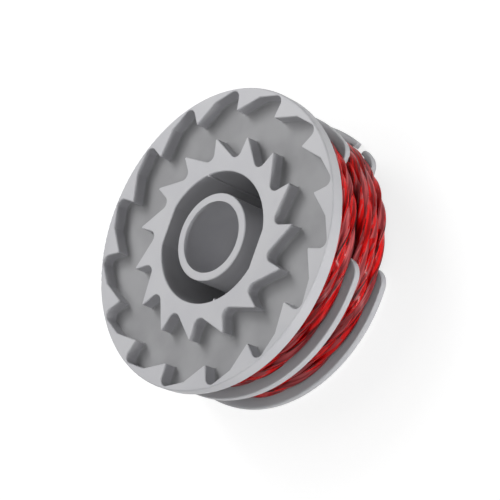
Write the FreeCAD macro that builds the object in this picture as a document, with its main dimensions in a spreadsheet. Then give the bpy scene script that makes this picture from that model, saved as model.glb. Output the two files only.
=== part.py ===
# Trimmer line spool: a moulded spool with two channels, each full of twisted cutting line.
#
# Millimetres and degrees. +Z points out of the ratchet face. The origin is the middle of the
# rear flange's outer face, which the spool stands on. The flange gaps are centred on -Y and +Y.

import FreeCAD, Part
import math
import os

import Sketcher

# Driving sizes: name, value, what it is.
SIZES = [
    ("face_radius", 32.0, "radius of the front flange"),
    ("front_thickness", 4.3, "front flange, from its face to its back"),
    ("rim_band", 2.7, "straight part of the front flange's rim"),
    ("rim_bevel", 1.7, "how far the back of that rim slants inwards"),
    ("flange_step", 1.0, "how much smaller the middle and rear flanges are in radius"),
    ("flange_thickness", 1.5, "middle flange and rear flange"),
    ("channel_width", 6.6, "between two flanges"),
    ("drum_radius", 15.6, "surface that the line is wound on"),
    ("drum_wall", 1.6, "between that surface and the well"),
    ("well_floor", 1.5, "closes the well at the rear"),
    ("bore_radius", 7.6, "hole through the hub tube"),
    ("hub_wall", 1.7, "wall of the hub tube"),
    ("flat_rise", 0.6, "how far a flat stands in from the well's wall"),
    ("flat_angle", 60.0, "direction of the well's flats"),
    ("nub_rise", 0.35, "how far a nub stands in from the well's wall"),
    ("nub_width", 0.6, "width of a nub"),
    ("recess_depth", 3.0, "ratchet recess, below the face"),
    ("tooth_count", 15, "teeth in each ring"),
    ("tip_land", 0.4, "blunt end of a tooth"),
    ("valley_radius", 1.5, "round end of the space between two teeth"),
    ("rim_wall", 0.55, "thinnest wall outside the outer ring"),
    ("outer_tooth", 4.31, "height of an outer tooth"),
    ("outer_kink_rise", 2.97, "height at which an outer tooth's long flank steepens"),
    ("outer_kink_angle", 10.9, "from the tip round to that place"),
    ("outer_lean", 0.28, "slant of an outer tooth's short flank, from tip to valley"),
    ("outer_tip_angle", 5.27, "direction of the first outer tip"),
    ("inner_land", 3.05, "between the well's wall and the inner valleys"),
    ("inner_tooth", 4.45, "height of an inner tooth"),
    ("inner_lean", 0.43, "slant of an inner tooth's short flank, from tip to valley"),
    ("inner_tip_angle", 16.82, "direction of the first inner tip"),
    ("gap_half_angle", 20.7, "half of a flange gap"),
    ("gap_floor", 3.4, "from the drum to the bottom of a flange gap"),
    ("gap_foot_round", 1.5, "round corner at the bottom of a flange gap"),
    ("middle_gap_corner", 4.2, "round corner where a gap meets the middle rim"),
    ("rear_gap_corner", 3.6, "round corner where a gap meets the rear rim"),
    ("notch_angle", 35.3, "from the middle of a flange gap to the parking notch"),
    ("notch_mouth", 2.6, "width of the notch where it opens in the rear rim"),
    ("notch_neck", 1.3, "from the rear rim in to the notch's cross slot"),
    ("slot_height", 2.4, "cross slot, along the radius"),
    ("slot_width", 6.4, "cross slot, from end to end"),
    ("slot_round", 1.0, "round corner in the cross slot"),
    ("tab_round", 0.7, "round corner of the tab between a gap and its notch"),
    ("edge_round", 0.3, "rounding of the flanges' edges"),
    ("face_bevel", 0.15, "bevel of the edges in the ratchet face"),
    ("floor_round", 0.4, "rounding between the recess floor and its walls"),
    ("drum_gap", 0.1, "between the drum and the line"),
    ("line_inset", 1.6, "from the middle flange's rim in to the crest of the outer turns"),
    ("turn_count", 3, "turns of line across a channel"),
    ("turn_bulge", 0.95, "how far a turn stands out of the winding"),
]

FULL_TURN = 360.0
DEGREES = 180.0 / math.pi
CLEAR = 1.0     # how far a cut runs past the surface it opens
UP = FreeCAD.Vector(0, 0, 1)
TINY = 0.001

doc = FreeCAD.newDocument("trimmer_line_spool")

sheet = doc.addObject("Spreadsheet::Sheet", "Sizes")
for row, (name, value, note) in enumerate(SIZES, start=1):
    sheet.set(f"A{row}", name)
    sheet.set(f"B{row}", str(value))
    sheet.set(f"C{row}", note)
    sheet.setAlias(f"B{row}", name)
doc.recompute()


class Size:
    """A number with the expression that binds it to the sheet."""

    def __init__(self, value, text):
        self.value = value
        self.text = text

    def __add__(self, other):
        other = plain(other)
        return Size(self.value + other.value, f"({self.text} + {other.text})")

    def __sub__(self, other):
        other = plain(other)
        return Size(self.value - other.value, f"({self.text} - {other.text})")

    def __mul__(self, other):
        other = plain(other)
        return Size(self.value * other.value, f"({self.text} * {other.text})")

    def __truediv__(self, other):
        other = plain(other)
        return Size(self.value / other.value, f"({self.text} / {other.text})")


def plain(number):
    """A bare number as a size, or a size as it is."""
    return number if isinstance(number, Size) else Size(float(number), str(float(number)))


def size(name):
    """A driving size, read from the sheet."""
    return Size(float(getattr(sheet, name)), f"Sizes.{name}")


def polar(radius, angle):
    """The x and y of a point at a radius and an angle."""
    cosine = Size(math.cos(math.radians(angle.value)), f"cos({angle.text})")
    sine = Size(math.sin(math.radians(angle.value)), f"sin({angle.text})")
    return radius * cosine, radius * sine


def vector(point):
    return FreeCAD.Vector(point[0].value, point[1].value, 0)


# Heights, from the rear face up.
rear_top = size("flange_thickness")
middle_base = rear_top + size("channel_width")
middle_top = middle_base + size("flange_thickness")
front_base = middle_top + size("channel_width")
face = front_base + size("front_thickness")
recess_floor = face - size("recess_depth")

# Radii, from the rim and from the bore.
face_radius = size("face_radius")
flange_radius = face_radius - size("flange_step")
drum_radius = size("drum_radius")
well_radius = drum_radius - size("drum_wall")
hub_radius = size("bore_radius") + size("hub_wall")
outer_root = face_radius - size("rim_wall")
outer_tip = outer_root - size("outer_tooth")
inner_root = well_radius + size("inner_land")
inner_tip = inner_root + size("inner_tooth")
line_radius = flange_radius - size("line_inset")

GAP_DIRECTION = plain(-90.0)
tooth_pitch = Size(FULL_TURN / size("tooth_count").value, f"({FULL_TURN} / Sizes.tooth_count)")


def origin_part(body, role):
    return next(part for part in body.Origin.OriginFeatures if part.Role == role)


def new_body(name):
    body = doc.addObject("PartDesign::Body", name)
    body.Label = name
    return body


def new_sketch(body, name, role="XY_Plane", lift=None):
    """A sketch on one of the body's own planes, lifted along that plane's normal."""
    sketch = body.newObject("Sketcher::SketchObject", name)
    sketch.AttachmentSupport = (origin_part(body, role), [""])
    sketch.MapMode = "FlatFace"
    if lift is not None:
        sketch.setExpression(".AttachmentOffset.Base.z", lift.text)
    return sketch


def bind(sketch, constraint, wanted):
    """Add a constraint whose value follows a size."""
    index = sketch.addConstraint(constraint)
    sketch.setExpression(f"Constraints[{index}]", wanted.text)


def pin(sketch, edge, end, point):
    """Hold one end of an edge at a point given by two sizes."""
    for kind, wanted in zip(("DistanceX", "DistanceY"), point):
        bind(sketch, Sketcher.Constraint(kind, -1, 1, edge, end, wanted.value), wanted)


def join(sketch, edge, next_edge):
    """The end of one edge meets the start of the next."""
    sketch.addConstraint(Sketcher.Constraint("Coincident", edge, 2, next_edge, 1))


def draw_outline(sketch, corners):
    """A closed outline of straight edges through pinned corners."""
    first = sketch.GeometryCount
    count = len(corners)
    for i, corner in enumerate(corners):
        following = corners[(i + 1) % count]
        sketch.addGeometry(Part.LineSegment(vector(corner), vector(following)), False)
    for i, corner in enumerate(corners):
        join(sketch, first + i, first + (i + 1) % count)
        pin(sketch, first + i, 1, corner)


def revolve(body, sketch, name):
    solid = body.newObject("PartDesign::Revolution", name)
    solid.Profile = sketch
    solid.ReferenceAxis = (sketch, ["V_Axis"])
    solid.Angle = FULL_TURN
    doc.recompute()
    return solid


def pocket(body, sketch, name, depth, upwards=False):
    """Cut a sketch's outline out of the body, down from the sketch or up from it."""
    before = body.Shape.Volume
    cut = body.newObject("PartDesign::Pocket", name)
    cut.Profile = sketch
    cut.Type = "Length"
    cut.Reversed = upwards
    cut.setExpression("Length", depth.text)
    doc.recompute()
    if not body.Shape.Volume < before:
        raise RuntimeError(f"{name} cuts nothing")
    return cut


def ring_pattern(body, features, name, count):
    """Repeat features evenly all the way round the axis."""
    pattern = body.newObject("PartDesign::PolarPattern", name)
    pattern.Originals = features
    pattern.Axis = (origin_part(body, "Z_Axis"), [""])
    pattern.Angle = FULL_TURN
    pattern.setExpression("Occurrences", count.text)
    body.Tip = pattern
    doc.recompute()
    return pattern


def dress_edges(body, kind, measure, name, amount, wanted):
    """Round or bevel every edge of the body that a test picks out."""
    base = body.Tip
    edges = [f"Edge{i}" for i, edge in enumerate(base.Shape.Edges, start=1) if wanted(edge)]
    dressing = body.newObject("PartDesign::" + kind, name)
    dressing.Base = (base, edges)
    dressing.setExpression(measure, amount.text)
    doc.recompute()


def round_edges(body, name, radius, wanted):
    dress_edges(body, "Fillet", "Radius", name, radius, wanted)


def bevel_edges(body, name, width, wanted):
    dress_edges(body, "Chamfer", "Size", name, width, wanted)


def turned_section(body):
    """The moulding as turned: three flanges on a drum, the well and the hub tube."""
    sketch = new_sketch(body, "section", "XZ_Plane")
    ground = plain(0.0)
    straight_rim = face - size("rim_band")
    bevel_radius = face_radius - size("rim_bevel")
    draw_outline(sketch, [
        (size("bore_radius"), ground),
        (flange_radius, ground),
        (flange_radius, rear_top),
        (drum_radius, rear_top),
        (drum_radius, middle_base),
        (flange_radius, middle_base),
        (flange_radius, middle_top),
        (drum_radius, middle_top),
        (drum_radius, front_base),
        (bevel_radius, front_base),
        (face_radius, straight_rim),
        (face_radius, face),
        (well_radius, face),
        (well_radius, size("well_floor")),
        (hub_radius, size("well_floor")),
        (hub_radius, face),
        (size("bore_radius"), face),
    ])
    revolve(body, sketch, "turned_form")


def draw_block(sketch, direction, near, far, half_width):
    """A rectangle across a direction from the axis, between two distances."""
    along = polar(plain(1.0), direction)
    across = (plain(0.0) - along[1], along[0])
    corners = []
    for distance, side in ((near, -1), (far, -1), (far, 1), (near, 1)):
        reach = half_width * side
        corners.append((along[0] * distance + across[0] * reach,
                        along[1] * distance + across[1] * reach))
    draw_outline(sketch, corners)


def well_keys(body):
    """Two flats and two small nubs on the well's wall, each pair half a turn apart."""
    inside_wall = well_radius + size("drum_wall") / 2
    flat_face = well_radius - size("flat_rise")
    chord = math.sqrt(well_radius.value ** 2 - flat_face.value ** 2)
    half_chord = Size(chord, f"sqrt({well_radius.text}^2 - {flat_face.text}^2)")
    sketch = new_sketch(body, "well_key_outline")
    draw_block(sketch, size("flat_angle"), flat_face, inside_wall, half_chord)
    draw_block(sketch, plain(0.0), well_radius - size("nub_rise"), inside_wall,
               size("nub_width") / 2)
    keys = body.newObject("PartDesign::Pad", "well_keys")
    keys.Profile = sketch
    keys.setExpression("Length", face.text)
    doc.recompute()
    ring_pattern(body, [keys], "well_key_pair", plain(2))


def recess(body):
    """The plain ring between the tips of the inner and the outer teeth."""
    sketch = new_sketch(body, "recess_outline", lift=face)
    for radius in (outer_tip, inner_tip):
        circle = sketch.addGeometry(Part.Circle(FreeCAD.Vector(), UP, radius.value), False)
        sketch.addConstraint(Sketcher.Constraint("Coincident", circle, 3, -1, 1))
        bind(sketch, Sketcher.Constraint("Radius", circle, radius.value), radius)
    pocket(body, sketch, "recess", size("recess_depth"))


def gullets(body, name, tip, root, tip_angle, lean, kink=None):
    """The spaces between the teeth of one ring, seen from the face.

    From a tip the long flank runs clockwise to the round valley, over a kink if there is
    one, and the short flank comes back nearly straight to the next tip.
    """
    outwards = 1 if root.value > tip.value else -1
    half_land = size("tip_land") / tip * (DEGREES / 2)
    next_land = tip_angle - tooth_pitch + half_land
    flank_start = polar(tip, tip_angle - half_land)
    flank_end = polar(tip, next_land)
    short_flank_aim = polar(root, next_land + lean / root * DEGREES)
    in_recess = polar((outer_tip + inner_tip) / 2, tip_angle - tooth_pitch / 2)

    # The valley's place to start from. Its tangents and its depth settle the rest.
    valley_radius = size("valley_radius")
    centre_radius = root - valley_radius * outwards
    centre_angle = next_land + valley_radius / centre_radius * DEGREES
    facing = centre_angle.value + (0 if outwards > 0 else FULL_TURN / 2)
    spread = (-90, 20) if outwards > 0 else (-20, 90)
    valley_circle = Part.Circle(vector(polar(centre_radius, centre_angle)), UP, valley_radius.value)
    valley_arc = Part.ArcOfCircle(valley_circle, *(math.radians(facing + turn) for turn in spread))
    long_side, short_side = (2, 1) if outwards > 0 else (1, 2)

    sketch = new_sketch(body, name + "_outline", lift=face)
    bends = [flank_start] + ([kink] if kink else [])
    path = [vector(bend) for bend in bends] + [vector(polar(root, centre_angle))]
    for begin, finish in zip(path, path[1:]):
        sketch.addGeometry(Part.LineSegment(begin, finish), False)
    long_flank = sketch.GeometryCount - 1
    valley = sketch.addGeometry(valley_arc, False)
    path = [polar(centre_radius, next_land), flank_end, in_recess, flank_start]
    for begin, finish in zip(path, path[1:]):
        sketch.addGeometry(Part.LineSegment(vector(begin), vector(finish)), False)
    short_flank = valley + 1
    aim = sketch.addGeometry(Part.Point(vector(short_flank_aim)), True)

    for edge, bend in enumerate(bends):
        pin(sketch, edge, 1, bend)
    if kink:
        join(sketch, 0, 1)
    pin(sketch, short_flank, 2, flank_end)
    join(sketch, short_flank, short_flank + 1)
    pin(sketch, short_flank + 1, 2, in_recess)
    join(sketch, short_flank + 1, short_flank + 2)
    join(sketch, short_flank + 2, 0)
    pin(sketch, aim, 1, short_flank_aim)
    bind(sketch, Sketcher.Constraint("Radius", valley, valley_radius.value), valley_radius)
    bind(sketch, Sketcher.Constraint("Distance", -1, 1, valley, 3, centre_radius.value),
         centre_radius)
    sketch.addConstraint(Sketcher.Constraint("Tangent", long_flank, 2, valley, long_side))
    sketch.addConstraint(Sketcher.Constraint("Tangent", short_flank, 1, valley, short_side))
    sketch.addConstraint(Sketcher.Constraint("PointOnObject", aim, 1, short_flank))

    gullet = pocket(body, sketch, name, size("recess_depth"))
    ring_pattern(body, [gullet], name + "_ring", size("tooth_count"))


def ratchet_rings(body):
    """The outer ring's teeth point at the axis, the inner ring's away from it."""
    outer_angle = size("outer_tip_angle")
    kink = polar(outer_tip + size("outer_kink_rise"), outer_angle - size("outer_kink_angle"))
    gullets(body, "outer_gullet", outer_tip, outer_root, outer_angle, size("outer_lean"), kink)
    gullets(body, "inner_gullet", inner_tip, inner_root, size("inner_tip_angle"),
            size("inner_lean"))


def flange_gaps(body):
    """A wide gap cut through the middle and rear flanges, and its twin half a turn on."""
    foot = drum_radius + size("gap_floor")
    chord = size("gap_half_angle")
    past_rim = (flange_radius + CLEAR) / Size(math.cos(math.radians(chord.value)),
                                              f"cos({chord.text})")
    sides = (GAP_DIRECTION - chord, GAP_DIRECTION + chord)
    sketch = new_sketch(body, "gap_outline")
    draw_outline(sketch, [polar(foot, sides[0]), polar(past_rim, sides[0]),
                          polar(past_rim, sides[1]), polar(foot, sides[1])])
    gap = pocket(body, sketch, "gap", middle_top + CLEAR, upwards=True)
    ring_pattern(body, [gap], "gap_pair", plain(2))


def parking_notches(body):
    """A notch beside each gap of the rear flange, where the line's end is held."""
    direction = GAP_DIRECTION + size("notch_angle")
    slot_top = flange_radius - size("notch_neck")
    slot_foot = slot_top - size("slot_height")
    through = rear_top + CLEAR
    sketch = new_sketch(body, "slot_outline")
    draw_block(sketch, direction, slot_foot, slot_top, size("slot_width") / 2)
    slot = pocket(body, sketch, "cross_slot", through, upwards=True)
    sketch = new_sketch(body, "mouth_outline")
    draw_block(sketch, direction, slot_foot, flange_radius + CLEAR, size("notch_mouth") / 2)
    mouth = pocket(body, sketch, "notch_mouth", through, upwards=True)
    ring_pattern(body, [slot, mouth], "notch_pair", plain(2))


def place_of(edge, direction):
    """Where an edge's middle lies along and across a direction, or across its opposite."""
    point = edge.valueAt((edge.FirstParameter + edge.LastParameter) / 2)
    turn = math.radians(direction.value)
    along = point.x * math.cos(turn) + point.y * math.sin(turn)
    across = point.y * math.cos(turn) - point.x * math.sin(turn)
    side = math.copysign(1.0, along)
    return along * side, across * side, point.z


def is_upright(edge):
    ends = [vertex.Point for vertex in edge.Vertexes]
    return len(ends) == 2 and math.hypot(ends[0].x - ends[1].x, ends[0].y - ends[1].y) < TINY


def near(one, other):
    return abs(one - other) < TINY


def gap_corners(body):
    """Round corners where the gaps meet the rims, and at the bottom of the gaps."""
    turn = math.radians(size("gap_half_angle").value)
    foot = drum_radius + size("gap_floor")

    def beside_gap(edge, radius, low, high):
        along, across, height = place_of(edge, GAP_DIRECTION)
        return (is_upright(edge) and low.value < height < high.value
                and near(along, radius.value * math.cos(turn))
                and near(abs(across), radius.value * math.sin(turn)))

    round_edges(body, "rear_gap_corners", size("rear_gap_corner"),
                lambda edge: beside_gap(edge, flange_radius, plain(0.0), rear_top))
    round_edges(body, "middle_gap_corners", size("middle_gap_corner"),
                lambda edge: beside_gap(edge, flange_radius, middle_base, middle_top))
    round_edges(body, "gap_foot_corners", size("gap_foot_round"),
                lambda edge: beside_gap(edge, foot, plain(0.0), middle_top))


def notch_corners(body):
    """Round corners of the tab beside each notch, and in the notch's cross slot."""
    direction = GAP_DIRECTION + size("notch_angle")
    half_mouth = size("notch_mouth").value / 2
    half_slot = size("slot_width").value / 2

    def on_tab(edge):
        along, across, _ = place_of(edge, direction)
        return (is_upright(edge) and near(across, -half_mouth)
                and near(math.hypot(along, across), flange_radius.value))

    def in_slot(edge):
        along, across, _ = place_of(edge, direction)
        return is_upright(edge) and near(abs(across), half_slot)

    round_edges(body, "tab_rounding", size("tab_round"), on_tab)
    round_edges(body, "slot_rounding", size("slot_round"), in_slot)


def lies_at(edge, height):
    return all(near(vertex.Point.z, height) for vertex in edge.Vertexes)


def radius_of(edge):
    along, across, _ = place_of(edge, GAP_DIRECTION)
    return math.hypot(along, across)


def recess_foot(body):
    """Rounding where the ratchet walls stand on the recess floor."""
    def at_foot(edge):
        return lies_at(edge, recess_floor.value) and radius_of(edge) > well_radius.value

    round_edges(body, "recess_rounding", size("floor_round"), at_foot)


def face_edges(body):
    """A fine bevel round the teeth, the well and the hub tube, but not round the bore."""
    def in_face(edge):
        return (lies_at(edge, face.value)
                and size("bore_radius").value + TINY < radius_of(edge) < outer_root.value + TINY)

    bevel_edges(body, "face_bevel", size("face_bevel"), in_face)


def flange_edges(body):
    """Rounding of the flanges' outlines."""
    flange_faces = [0.0, rear_top.value, middle_base.value, middle_top.value]

    def lower_outline(edge):
        return (radius_of(edge) > drum_radius.value + TINY
                and any(lies_at(edge, height) for height in flange_faces))

    def front_rim(edge):
        return near(radius_of(edge), face_radius.value) and lies_at(edge, face.value)

    round_edges(body, "flange_rounding", size("edge_round"), lower_outline)
    round_edges(body, "rim_rounding", size("edge_round"), front_rim)


def spool_body():
    body = new_body("spool_body")
    turned_section(body)
    well_keys(body)
    recess(body)
    ratchet_rings(body)
    recess_foot(body)
    flange_gaps(body)
    parking_notches(body)
    gap_corners(body)
    notch_corners(body)
    flange_edges(body)
    face_edges(body)
    return body


def winding(name, base):
    """The line that fills a channel. Each turn of its outer layer shows as a bulge."""
    body = new_body(name)
    top = base + size("channel_width")
    inner = drum_radius + size("drum_gap")
    groove = line_radius - size("turn_bulge")
    turn_width = size("channel_width") / size("turn_count")
    sketch = new_sketch(body, name + "_section", "XZ_Plane")

    corners = [(groove, top), (inner, top), (inner, base), (groove, base)]
    for edge, (begin, finish) in enumerate(zip(corners, corners[1:])):
        sketch.addGeometry(Part.LineSegment(vector(begin), vector(finish)), False)
        pin(sketch, edge, 1, begin)
        if edge:
            join(sketch, edge - 1, edge)
    for turn in range(int(size("turn_count").value)):
        low = base + turn_width * turn
        start, crest, end = ((groove, low), (line_radius, low + turn_width / 2),
                             (groove, low + turn_width))
        edge = len(corners) - 1 + turn
        bulge = Part.Arc(vector(start), vector(crest), vector(end))
        sketch.addGeometry(bulge, False)
        join(sketch, edge - 1, edge)
        pin(sketch, edge, 1, start)
    join(sketch, edge, 0)
    for turn in range(int(size("turn_count").value)):
        crest = (line_radius, base + turn_width * (turn + 0.5))
        mark = sketch.addGeometry(Part.Point(vector(crest)), True)
        pin(sketch, mark, 1, crest)
        sketch.addConstraint(Sketcher.Constraint("PointOnObject", mark, 1,
                                                 len(corners) - 1 + turn))
    revolve(body, sketch, name + "_turns")
    return body


def check(bodies):
    """Stop if any object of the document failed, or a sub-part is not one sound solid."""
    for item in doc.Objects:
        if "Invalid" in item.State or "Error" in item.State:
            raise RuntimeError(f"{item.Label} failed")
    for body in bodies:
        if body.Shape.isNull() or not body.Shape.isValid() or len(body.Shape.Solids) != 1:
            raise RuntimeError(f"{body.Label} is not one sound solid")


bodies = [
    spool_body(),
    winding("front_line_winding", middle_top),
    winding("rear_line_winding", rear_top),
]
doc.recompute()
check(bodies)
os.makedirs("parts", exist_ok=True)
for body in bodies:
    body.Shape.exportStep(f"parts/{body.Label}.step")
    print(body.Label, round(body.Shape.Volume, 1), "mm3,", len(body.Shape.Faces), "faces")
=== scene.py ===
"""A trimmer line spool on its rear flange, dressed for its picture.

Metres throughout. The origin is the middle of the rear flange's outer face and
+Z points out of the ratchet face. The parking gaps open towards -Y and +Y.
"""

import math

import bpy
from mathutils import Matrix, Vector

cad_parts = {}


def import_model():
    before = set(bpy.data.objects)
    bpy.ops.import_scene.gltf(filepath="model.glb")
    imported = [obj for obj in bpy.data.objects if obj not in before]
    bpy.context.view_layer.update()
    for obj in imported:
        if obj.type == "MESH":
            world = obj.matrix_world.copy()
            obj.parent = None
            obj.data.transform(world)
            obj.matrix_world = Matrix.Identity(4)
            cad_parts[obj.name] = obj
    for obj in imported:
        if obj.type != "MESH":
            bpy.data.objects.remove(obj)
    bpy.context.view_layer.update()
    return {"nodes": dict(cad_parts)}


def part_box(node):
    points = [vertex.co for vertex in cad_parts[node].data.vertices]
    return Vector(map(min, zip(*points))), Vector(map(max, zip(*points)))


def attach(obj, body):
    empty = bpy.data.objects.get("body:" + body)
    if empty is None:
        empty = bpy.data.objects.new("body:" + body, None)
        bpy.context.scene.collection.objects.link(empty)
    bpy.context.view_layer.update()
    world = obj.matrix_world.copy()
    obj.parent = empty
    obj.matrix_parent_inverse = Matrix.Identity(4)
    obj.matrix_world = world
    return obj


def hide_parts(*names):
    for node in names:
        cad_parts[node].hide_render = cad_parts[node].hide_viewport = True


MM = 0.001
FULL_TURN = 2.0 * math.pi

# The camera, as it stood for the photograph.
CAMERA_PLACE = (-0.16437, -0.22783, 0.27361)
CAMERA_TURN = (22.887, 41.919, -93.657)
CAMERA_LENS = 134.93
CAMERA_SENSOR = 36.0
CAMERA_NEAR = 0.01
CAMERA_FAR = 10.0

# Where the etched finish and painted shade of the recess floor, and the painted shade of the well,
# start and end.
RECESS_FLOOR = 17.5 * MM
RECESS_INSIDE = 16.6 * MM
RECESS_OUTSIDE = 31.6 * MM
ETCH_AND_SHADE_UP_THE_WALL = 0.45 * MM
ETCH_AND_SHADE_FULL = 0.05 * MM
ETCH_AND_SHADE_BELOW = 0.10 * MM
WELL_MOUTH = 20.3 * MM
WELL_INSIDE = 8.6 * MM
WELL_OUTSIDE = 14.2 * MM
WELL_FADE = 3.0 * MM
SHADE_ZONE_EDGE = 0.2 * MM

# The plastic. Each colour is a pair that it drifts between, from 0 to 255 as it is seen.
PLAIN_GREY = ((194, 194, 198), (199, 199, 202))
# The recess floor's grey is darker partly for its etched texture and partly as painted shade, the
# shade that falls in the recess.
ETCHED_AND_SHADED_GREY = ((150, 150, 152), (162, 162, 164))
# Painted shade: the well's grey is darker, as the shade deep in the well would make it.
WELL_SHADE_GREY = ((176, 176, 179), (182, 182, 185))
PLASTIC_IOR = 1.46
PLASTIC_GLOSS = 0.30
SATIN_ROUGHNESS = 0.40
ETCHED_ROUGHNESS = 0.62
CLOUD_SCALE = 90.0
CLOUD_DETAIL = 3.0
CLOUD_EDGES = (0.35, 0.65)
GRAIN_SCALE = 3500.0
GRAIN_DETAIL = 2.0
GRAIN_STRENGTH = 0.10
GRAIN_HEIGHT = 0.03 * MM

# The red line. Each pair is its colour on the spool, then a lighter one over the gap, which is
# painted light: there the line lies out of the flanges' shade.
CLEAR_LIGHT = ((216, 6, 9), (254, 12, 14))
CLEAR_DEEP = ((116, 0, 3), (160, 3, 6))
# The frosted sides' pale pink is partly frost and partly a painted sheen, standing for the white
# the surroundings reflect.
FROST_AND_SHEEN_LIGHT = ((160, 60, 64), (220, 98, 100))
FROST_AND_SHEEN_DEEP = ((116, 28, 32), (152, 50, 54))
# Painted shade: the dark red of the broken lines along the strands' corners, where shade falls
# between strands.
SLIT_SHADE_RED = (60, 4, 7)
CAST_GREY = (90, 72, 73)
BURIED_RED = (150, 8, 11)
BURIED_ROUGHNESS = 0.4
LINE_IOR = 1.45
LINE_GLOSS = 0.20
LINE_CLEARNESS = 0.15
CLEAR_ROUGHNESS = 0.22
FROST_ROUGHNESS = 0.36
GAP_LIGHT_EDGES = (0.62, 0.93)

# Noise on the line, in steps along its length and around its section.
STREAKS = (70.0, 15.0)
STREAK_DETAIL = 2.0
STREAK_EDGES = (0.40, 0.60)
PATCHES = (85.0, 7.0)
PATCH_DETAIL = 2.0
PATCH_WEIGHT = 10.0
PATCH_LEVEL = -5.35
FROST_EDGE = 0.18
SLIT_SHADE_SCALE = (150.0, 6.0)
SLIT_SHADE_DETAIL = 1.0
SLIT_SHADE_EDGES = (0.48, 0.56)
CORNER_EDGES = (-0.45, -0.90)

# The cutting line: a rounded square section, twisted along its length.
LINE_SIDE = 2.04 * MM
LINE_SQUARENESS = 0.95
SECTION_STEPS = 8
STEPS_PER_TURN = 240
TWISTS_PER_TURN = 5.5 + 1.0 / 6.0
FLAT_HOLD = 0.35
LINE_CREASE = math.radians(50.0)

# How it sways as it is wound: how far, and how many waves a turn has.
TWIST_SWAY = 0.7
TWIST_WAVES = 2.4
OUTWARD_SWAY = 0.14 * MM
OUTWARD_WAVES = (2.3, 4.3)
SIDEWAYS_SWAY = 0.16 * MM
SIDEWAYS_WAVES = (1.7, 3.1)
SECOND_WAVE = 0.6

# The turns of a winding, their tucked ends, the layer under them and the core.
TURNS = 3
STEP_OVER = 0.22
STRAND_DEPTH = 0.58 * LINE_SIDE
END_SINK = 3.2 * MM
END_REACH = math.radians(16.0)
HIDDEN_SIDE = math.radians(54.0)
UNDER_DEPTH = 1.55 * MM
UNDER_RISE = 1.05 * MM
UNDER_START = 0.9
UNDER_TWIST = 1.1
CORE_DEPTH = 3.0 * MM
CORE_SIDES = 96
CORE_CLEARANCE = 0.05 * MM
CORE_CREASE = math.radians(30.0)
DRUM_RADIUS = 15.9 * MM

# Where the turns bridge a parking gap they swell out, and over the missing flange.
GAP_BEARING = math.radians(-90.0)
GAP_ENDS = 0.72
GAP_MIDDLE = 0.97
SWELL_BEARING = math.radians(-86.0)
SWELL_RADIUS = 29.4 * MM

# How each winding lies: how far it creeps over the missing flange, where its turns
# start, how far out they lie, how much they swell, their first twist, and how much of
# its side step the last turn of the under layer holds back.
LAYS = {
    "front_line_winding": {
        "creep": 0.0,
        "start": 0.0,
        "crest": 28.6 * MM,
        "gap_light_share": 1.0 * MM,
        "twist": 0.0,
        "hold": 1.0,
    },
    "rear_line_winding": {
        "creep": 0.45 * MM,
        "start": 0.5,
        "crest": 28.9 * MM,
        "gap_light_share": 1.6 * MM,
        "twist": 0.8,
        "hold": 0.82,
    },
}

# The paper it stands on.
PAPER_WHITE = 0.8
PAPER_ROUGHNESS = 0.9
PAPER_SIZE = 2.0
PAPER_DROP = 0.02 * MM
SHADOW_SHARE = 0.35
PAPER_GLOW = 0.78

# The lamps: name, bearing and height in degrees, distance, width, tallness and watts.
LAMPS = (
    ("key_panel", 54.0, 55.0, 0.5, 0.30, 0.30, 0.95),
    ("side_panel", 30.0, 40.0, 0.5, 0.18, 0.18, 0.92),
    ("left_panel", 144.0, 55.0, 0.5, 0.30, 0.30, 0.37),
    ("front_panel", 234.0, 55.0, 0.5, 0.30, 0.30, 0.45),
    ("low_left_panel", 172.0, 2.5, 0.35, 0.20, 0.04, 0.07),
    ("low_front_panel", 237.0, 2.5, 0.35, 0.20, 0.04, 0.66),
)
LAMPS_AIM = Vector((0.0, 0.0, 0.01))


def only(obj):
    """Leaves obj alone selected, and active."""
    bpy.ops.object.select_all(action="DESELECT")
    obj.select_set(True)
    bpy.context.view_layer.objects.active = obj


def linear(red, green, blue):
    """The colour as the picture shows it, from 0 to 255, for a shader's socket."""
    def channel(value):
        share = value / 255.0
        return share / 12.92 if share <= 0.04045 else ((share + 0.055) / 1.055) ** 2.4

    return (channel(red), channel(green), channel(blue), 1.0)


def new_material(name):
    """A material with its nodes, its links and its shader."""
    material = bpy.data.materials.new(name)
    material.use_nodes = True
    nodes = material.node_tree.nodes
    return material, nodes, material.node_tree.links, nodes["Principled BSDF"]


def worked(nodes, links, operation, *values):
    """What one sum gives, from sockets and plain numbers."""
    node = nodes.new("ShaderNodeMath")
    node.operation = operation
    for socket, value in zip(node.inputs, values):
        if isinstance(value, float):
            socket.default_value = value
        else:
            links.new(value, socket)
    return node.outputs["Value"]


def eye_or_gloss(nodes, links):
    """One where the camera, a reflection or clear plastic looks, else nought."""
    path = nodes.new("ShaderNodeLightPath").outputs
    mirrored = worked(nodes, links, "MAXIMUM", path["Is Camera Ray"], path["Is Glossy Ray"])
    return worked(nodes, links, "MAXIMUM", mirrored, path["Is Transmission Ray"])


def smooth_step(nodes, links, value, start, end):
    """Nought at start and one at end, with a soft change between."""
    step = nodes.new("ShaderNodeMapRange")
    step.interpolation_type = "SMOOTHSTEP"
    step.inputs["From Min"].default_value = start
    step.inputs["From Max"].default_value = end
    links.new(value, step.inputs["Value"])
    return step.outputs["Result"]


def blend(nodes, links, share, first, second):
    """A colour between two, each a socket or a plain colour from 0 to 255."""
    mix = nodes.new("ShaderNodeMix")
    mix.data_type = "RGBA"
    links.new(share, mix.inputs["Factor"])
    for socket, colour in ((mix.inputs[6], first), (mix.inputs[7], second)):
        if isinstance(colour, tuple):
            socket.default_value = linear(*colour)
        else:
            links.new(colour, socket)
    return mix.outputs[2]


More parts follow.
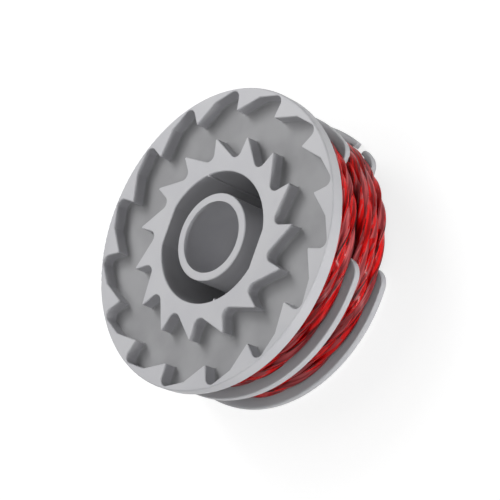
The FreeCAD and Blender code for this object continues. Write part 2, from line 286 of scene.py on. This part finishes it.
def noise(nodes, links, place, scale, detail):
    """Soft noise. The scale is a number, or a pair of them along and around the line."""
    cloud = nodes.new("ShaderNodeTexNoise")
    cloud.inputs["Detail"].default_value = detail
    if isinstance(scale, tuple):
        stretch = nodes.new("ShaderNodeMapping")
        stretch.inputs["Scale"].default_value = (*scale, 1.0)
        links.new(place, stretch.inputs["Vector"])
        place = stretch.outputs["Vector"]
        scale = 1.0
    cloud.inputs["Scale"].default_value = scale
    links.new(place, cloud.inputs["Vector"])
    return cloud.outputs["Fac"]


def roughen(nodes, links, shader, share, smooth, rough):
    """Makes the shader as rough as the share says, between two roughnesses."""
    ramp = nodes.new("ShaderNodeMapRange")
    ramp.inputs["To Min"].default_value = smooth
    ramp.inputs["To Max"].default_value = rough
    links.new(share, ramp.inputs["Value"])
    links.new(ramp.outputs["Result"], shader.inputs["Roughness"])


def height_and_radius(nodes, links, place):
    """The height over the rear face, and the distance from the axis."""
    axes = nodes.new("ShaderNodeSeparateXYZ")
    links.new(place, axes.inputs["Vector"])
    flat = nodes.new("ShaderNodeMapping")
    flat.inputs["Scale"].default_value = (1.0, 1.0, 0.0)
    links.new(place, flat.inputs["Vector"])
    radius = nodes.new("ShaderNodeVectorMath")
    radius.operation = "LENGTH"
    links.new(flat.outputs["Vector"], radius.inputs[0])
    return axes.outputs["Z"], radius.outputs["Value"]


def zone(nodes, links, steps):
    """One where each value is past its step, and nought past the foot of any of them."""
    share = None
    for value, foot, top in steps:
        within = smooth_step(nodes, links, value, foot, top)
        share = within if share is None else worked(nodes, links, "MULTIPLY", share, within)
    return share


def spool_plastic():
    """Light grey moulded plastic: satin, and matt on the recess floor. Its grey is darker on the
    recess floor, partly for the etch and partly as painted shade, and darker in the well as
    painted shade.
    """
    material, nodes, links, shader = new_material("grey_spool_plastic")
    shader.inputs["IOR"].default_value = PLASTIC_IOR
    shader.inputs["Specular IOR Level"].default_value = PLASTIC_GLOSS
    place = nodes.new("ShaderNodeTexCoord").outputs["Object"]
    height, radius = height_and_radius(nodes, links, place)
    # Painted shade: the recess floor is painted darker, as in the shade of its walls, and is also
    # made matt.
    recess_etch_and_shade_share = zone(nodes, links, (
        (height, RECESS_FLOOR + ETCH_AND_SHADE_UP_THE_WALL, RECESS_FLOOR + ETCH_AND_SHADE_FULL),
        (height, RECESS_FLOOR - ETCH_AND_SHADE_BELOW, RECESS_FLOOR - ETCH_AND_SHADE_FULL),
        (radius, RECESS_INSIDE - SHADE_ZONE_EDGE, RECESS_INSIDE),
        (radius, RECESS_OUTSIDE + SHADE_ZONE_EDGE, RECESS_OUTSIDE),
    ))
    # Painted shade: the well's walls are painted darker, as in the well's own shade.
    well_shade_share = zone(nodes, links, (
        (height, WELL_MOUTH, WELL_MOUTH - WELL_FADE),
        (radius, WELL_INSIDE - SHADE_ZONE_EDGE, WELL_INSIDE),
        (radius, WELL_OUTSIDE + SHADE_ZONE_EDGE, WELL_OUTSIDE),
    ))

    cloud = noise(nodes, links, place, CLOUD_SCALE, CLOUD_DETAIL)
    uneven = smooth_step(nodes, links, cloud, *CLOUD_EDGES)
    plain = blend(nodes, links, uneven, *PLAIN_GREY)
    recess_grey_with_shade = blend(nodes, links, uneven, *ETCHED_AND_SHADED_GREY)
    well_grey_with_shade = blend(nodes, links, uneven, *WELL_SHADE_GREY)
    grey_with_well_shade = blend(nodes, links, well_shade_share, plain, well_grey_with_shade)
    finish = blend(nodes, links, recess_etch_and_shade_share, grey_with_well_shade, recess_grey_with_shade)
    links.new(finish, shader.inputs["Base Color"])
    roughen(nodes, links, shader, recess_etch_and_shade_share, SATIN_ROUGHNESS, ETCHED_ROUGHNESS)

    bump = nodes.new("ShaderNodeBump")
    bump.inputs["Strength"].default_value = GRAIN_STRENGTH
    bump.inputs["Distance"].default_value = GRAIN_HEIGHT
    grain = noise(nodes, links, place, GRAIN_SCALE, GRAIN_DETAIL)
    links.new(grain, bump.inputs["Height"])
    links.new(bump.outputs["Normal"], shader.inputs["Normal"])
    return material


def cutting_line_red():
    """Clear red nylon line: two of its four sides are glossy, the other two carry a frost whose
    pale pink is partly a painted sheen. Over the parking gap it is painted lighter, which is
    painted light, and broken dark lines of painted shade run along its corners.

    What it throws on other surfaces is greyish, so that the flanges beside it stay grey.
    """
    material, nodes, links, shader = new_material("red_cutting_line")
    shader.inputs["IOR"].default_value = LINE_IOR
    shader.inputs["Transmission Weight"].default_value = LINE_CLEARNESS
    shader.inputs["Specular IOR Level"].default_value = LINE_GLOSS
    line = nodes.new("ShaderNodeTexCoord").outputs
    around = nodes.new("ShaderNodeSeparateXYZ")
    links.new(line["UV"], around.inputs["Vector"])
    twice = worked(nodes, links, "MULTIPLY", around.outputs["Y"], 2.0 * FULL_TURN)
    fourfold = worked(nodes, links, "MULTIPLY", around.outputs["Y"], 4.0 * FULL_TURN)

    # The two frosted sides: rougher, and painted pale pink, as frost and as a painted sheen.
    side = worked(nodes, links, "COSINE", twice)
    patch = noise(nodes, links, line["UV"], PATCHES, PATCH_DETAIL)
    worn = worked(nodes, links, "MULTIPLY_ADD", patch, PATCH_WEIGHT, PATCH_LEVEL)
    uneven = worked(nodes, links, "ADD", side, worn)
    frosted_and_sheen_share = smooth_step(nodes, links, uneven, -FROST_EDGE, FROST_EDGE)
    streak = noise(nodes, links, line["UV"], STREAKS, STREAK_DETAIL)
    marks = smooth_step(nodes, links, streak, *STREAK_EDGES)

    facing = nodes.new("ShaderNodeVectorMath")
    facing.operation = "DOT_PRODUCT"
    facing.inputs[1].default_value = (
        math.cos(SWELL_BEARING) / SWELL_RADIUS, math.sin(SWELL_BEARING) / SWELL_RADIUS, 0.0,
    )
    links.new(line["Object"], facing.inputs[0])
    # Painted light: the line is painted lighter where it lies over the gap, out of the flanges'
    # shade.
    gap_light_share = smooth_step(nodes, links, facing.outputs["Value"], *GAP_LIGHT_EDGES)
    light = blend(nodes, links, gap_light_share, *CLEAR_LIGHT)
    deep = blend(nodes, links, gap_light_share, *CLEAR_DEEP)
    frost_and_sheen_light = blend(nodes, links, gap_light_share, *FROST_AND_SHEEN_LIGHT)
    frost_and_sheen_deep = blend(nodes, links, gap_light_share, *FROST_AND_SHEEN_DEEP)
    clear = blend(nodes, links, marks, deep, light)
    skin_and_sheen = blend(nodes, links, marks, frost_and_sheen_deep, frost_and_sheen_light)
    faces = blend(nodes, links, frosted_and_sheen_share, clear, skin_and_sheen)

    # Painted shade: broken dark lines along the section's corners, where the shade between the
    # strands falls.
    fold = worked(nodes, links, "COSINE", fourfold)
    corner = smooth_step(nodes, links, fold, *CORNER_EDGES)
    tear = noise(nodes, links, line["UV"], SLIT_SHADE_SCALE, SLIT_SHADE_DETAIL)
    broken = smooth_step(nodes, links, tear, *SLIT_SHADE_EDGES)
    slit_shade = worked(nodes, links, "MULTIPLY", corner, broken)
    seen = blend(nodes, links, slit_shade, faces, SLIT_SHADE_RED)
    path = nodes.new("ShaderNodeLightPath").outputs
    cast = blend(nodes, links, path["Is Diffuse Ray"], seen, CAST_GREY)
    links.new(cast, shader.inputs["Base Color"])
    roughen(nodes, links, shader, frosted_and_sheen_share, CLEAR_ROUGHNESS, FROST_ROUGHNESS)
    return material


def line_core_red():
    """The buried turns, which only show as dark red between the outer ones."""
    material, nodes, links, shader = new_material("deep_line_red")
    shader.inputs["Base Color"].default_value = linear(*BURIED_RED)
    shader.inputs["Roughness"].default_value = BURIED_ROUGHNESS
    return material


def floor_paper():
    """White paper that keeps a soft shadow, and is plain white to eye and gloss."""
    material, nodes, links, shader = new_material("white_paper")
    shader.inputs["Base Color"].default_value = (PAPER_WHITE, PAPER_WHITE, PAPER_WHITE, 1.0)
    shader.inputs["Roughness"].default_value = PAPER_ROUGHNESS
    seen = nodes.new("ShaderNodeBsdfDiffuse")
    seen.inputs["Color"].default_value = (SHADOW_SHARE, SHADOW_SHARE, SHADOW_SHARE, 1.0)
    glow = nodes.new("ShaderNodeEmission")
    glow.inputs["Strength"].default_value = PAPER_GLOW
    both = nodes.new("ShaderNodeAddShader")
    links.new(seen.outputs["BSDF"], both.inputs[0])
    links.new(glow.outputs["Emission"], both.inputs[1])
    mix = nodes.new("ShaderNodeMixShader")
    links.new(eye_or_gloss(nodes, links), mix.inputs["Fac"])
    links.new(shader.outputs["BSDF"], mix.inputs[1])
    links.new(both.outputs["Shader"], mix.inputs[2])
    links.new(mix.outputs["Shader"], nodes["Material Output"].inputs["Surface"])
    return material


def finish_node(frame, name, material):
    """Gives a node of the frame its finish."""
    mesh = frame["nodes"][name].data
    mesh.materials.clear()
    mesh.materials.append(material)


def line_section():
    """The line's cross-section: a circle squared off by long handles."""
    bpy.ops.curve.primitive_bezier_circle_add(radius=1.0, location=(0.0, 0.0, 0.0))
    section = bpy.context.object
    section.name = "line_section"
    half = LINE_SIDE / 2.0
    reach = half * LINE_SQUARENESS
    for point in section.data.splines[0].bezier_points:
        point.handle_left_type = "FREE"
        point.handle_right_type = "FREE"
        towards_left = (point.handle_left - point.co).normalized() * reach
        towards_right = (point.handle_right - point.co).normalized() * reach
        place = point.co * half
        point.co = place
        point.handle_left = place + towards_left
        point.handle_right = place + towards_right
    section.data.resolution_u = SECTION_STEPS
    return section


def crest(angle, lay):
    """How far out the line lies at an angle: it swells where it bridges the gap."""
    facing = max(0.0, math.cos(angle - SWELL_BEARING))
    return lay["crest"] + lay["gap_light_share"] * facing ** 2


def gap_share(angle):
    """One across the middle of either parking gap, and nought a little beyond its ends."""
    facing = abs(math.cos(angle - GAP_BEARING))
    share = min(1.0, max(0.0, (facing - GAP_ENDS) / (GAP_MIDDLE - GAP_ENDS)))
    return share * share * (3.0 - 2.0 * share)


def lane(share):
    """How many lanes over the line lies after so many turns: it steps over out of sight."""
    turn = min(int(share), TURNS - 1)
    if turn == TURNS - 1:
        return float(turn)
    stepped = max(0.0, (share - turn - 1.0) / STEP_OVER + 1.0)
    return turn + stepped * stepped * (3.0 - 2.0 * stepped)


def laid_point(share, to_end, span, lay, under):
    """Where the line lies after so many turns, and its twist there."""
    low, high = span
    pitch = (high - low) / TURNS
    phase = lay["start"] + (UNDER_START if under else 0.0)
    angle = HIDDEN_SIDE + phase + share * FULL_TURN
    loose = gap_share(angle)

    depth = STRAND_DEPTH + (UNDER_DEPTH if under else 0.0)
    out = crest(angle, lay) - depth
    if under:
        out += UNDER_RISE * loose
    out -= END_SINK * max(0.0, 1.0 - to_end / END_REACH) ** 2
    slow, quick = OUTWARD_WAVES
    out += OUTWARD_SWAY * (math.sin(slow * angle + phase) + math.sin(quick * angle + 2.0 * phase))

    across = lane(share) / (TURNS - 1)
    up = low + pitch / 2.0 + (high - low - pitch) * across
    slow, quick = SIDEWAYS_WAVES
    up += SIDEWAYS_SWAY * (
        math.sin(slow * angle + 2.0 * phase) + SECOND_WAVE * math.sin(quick * angle + phase)
    )
    up += lay["creep"] * loose * across
    if under:
        up += pitch / 2.0 * loose * (1.0 - lay["hold"] * across)

    turned = lay["twist"] + (UNDER_TWIST if under else 0.0) + FULL_TURN * TWISTS_PER_TURN * share
    turned += TWIST_SWAY * math.sin(TWIST_WAVES * angle + phase)
    tilt = turned - FLAT_HOLD * math.sin(4.0 * turned) / 4.0
    return (out * math.cos(angle), out * math.sin(angle), up), tilt


def laid_turns(name, section, material, span, lay, under):
    """Twisted line laid in side by side turns, its two ends tucked under."""
    path = bpy.data.curves.new(name, "CURVE")
    path.dimensions = "3D"
    path.twist_mode = "Z_UP"
    path.bevel_mode = "OBJECT"
    path.bevel_object = section
    path.use_fill_caps = True
    steps = STEPS_PER_TURN * TURNS
    spline = path.splines.new("POLY")
    spline.points.add(steps)
    for step, point in enumerate(spline.points):
        to_end = min(step, steps - step) / STEPS_PER_TURN * FULL_TURN
        place, tilt = laid_point(step / STEPS_PER_TURN, to_end, span, lay, under)
        point.co = (*place, 1.0)
        point.tilt = tilt
    laid = bpy.data.objects.new(name, path)
    bpy.context.scene.collection.objects.link(laid)
    only(laid)
    bpy.ops.object.convert(target="MESH")
    laid = bpy.context.object
    bpy.ops.object.shade_smooth_by_angle(angle=LINE_CREASE)
    laid.data.materials.clear()
    laid.data.materials.append(material)
    return laid


def line_core(name, material, low, high, outside):
    """The buried turns, as one plain ring under the ones that show."""
    bpy.ops.mesh.primitive_cylinder_add(
        vertices=CORE_SIDES,
        radius=outside,
        depth=high - low,
        end_fill_type="NOTHING",
        location=(0.0, 0.0, (low + high) / 2.0),
    )
    core = bpy.context.object
    core.name = name
    bpy.ops.object.transform_apply(location=True, rotation=False, scale=False)
    wall = core.modifiers.new("wall", "SOLIDIFY")
    wall.thickness = outside - DRUM_RADIUS
    wall.offset = -1.0
    bpy.ops.object.modifier_apply(modifier=wall.name)
    bpy.ops.object.shade_smooth_by_angle(angle=CORE_CREASE)
    core.data.materials.append(material)
    return core


def winding(node, section, line, deep):
    """One channel's line: the turns that show, those under them and the core."""
    lay = LAYS[node]
    lowest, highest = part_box(node)
    span = (lowest.z, highest.z)
    outer = laid_turns(node + "_outer_turns", section, line, span, lay, False)
    under = laid_turns(node + "_under_turns", section, line, span, lay, True)
    core = line_core(
        node + "_core",
        deep,
        lowest.z + CORE_CLEARANCE,
        highest.z - CORE_CLEARANCE,
        lay["crest"] - CORE_DEPTH,
    )
    for piece in (outer, under, core):
        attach(piece, "root")
        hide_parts(node)


def camera():
    """The camera of the photograph."""
    data = bpy.data.cameras.new("camera")
    data.lens = CAMERA_LENS
    data.sensor_width = CAMERA_SENSOR
    data.clip_start = CAMERA_NEAR
    data.clip_end = CAMERA_FAR
    eye = bpy.data.objects.new("camera", data)
    eye.location = CAMERA_PLACE
    eye.rotation_euler = [math.radians(turn) for turn in CAMERA_TURN]
    bpy.context.scene.collection.objects.link(eye)
    bpy.context.scene.camera = eye


def floor(material):
    """The sheet of paper, a hair under the rear face."""
    bpy.ops.mesh.primitive_plane_add(size=PAPER_SIZE, location=(0.0, 0.0, -PAPER_DROP))
    sheet = bpy.context.object
    sheet.name = "floor"
    bpy.ops.object.transform_apply(location=True, rotation=False, scale=False)
    sheet.data.materials.append(material)


def panel(name, bearing, height, distance, width, tall, power):
    """A soft light panel that faces the spool."""
    data = bpy.data.lights.new(name, "AREA")
    data.shape = "RECTANGLE"
    data.size = width
    data.size_y = tall
    data.energy = power
    around = math.radians(bearing)
    above = math.radians(height)
    away = Vector((
        math.cos(above) * math.cos(around),
        math.cos(above) * math.sin(around),
        math.sin(above),
    ))
    lamp = bpy.data.objects.new(name, data)
    lamp.location = LAMPS_AIM + away * distance
    lamp.rotation_euler = (-away).to_track_quat("-Z", "Y").to_euler()
    bpy.context.scene.collection.objects.link(lamp)


def world():
    """A room that gives no light, and is near white to eye and gloss."""
    scene = bpy.context.scene
    scene.world = bpy.data.worlds.new("studio")
    scene.world.use_nodes = True
    nodes = scene.world.node_tree.nodes
    links = scene.world.node_tree.links
    dark = nodes["Background"]
    dark.inputs["Strength"].default_value = 0.0
    white = nodes.new("ShaderNodeBackground")
    white.inputs["Strength"].default_value = 1.0
    mix = nodes.new("ShaderNodeMixShader")
    links.new(eye_or_gloss(nodes, links), mix.inputs["Fac"])
    links.new(dark.outputs["Background"], mix.inputs[1])
    links.new(white.outputs["Background"], mix.inputs[2])
    links.new(mix.outputs["Shader"], nodes["World Output"].inputs["Surface"])


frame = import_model()
bpy.context.scene.view_settings.view_transform = "Standard"

camera()
grey = spool_plastic()
red = cutting_line_red()
deep_red = line_core_red()
finish_node(frame, "spool_body", grey)
section = line_section()
for node in LAYS:
    winding(node, section, red, deep_red)
bpy.data.objects.remove(section)
floor(floor_paper())
world()
for lamp in LAMPS:
    panel(*lamp)
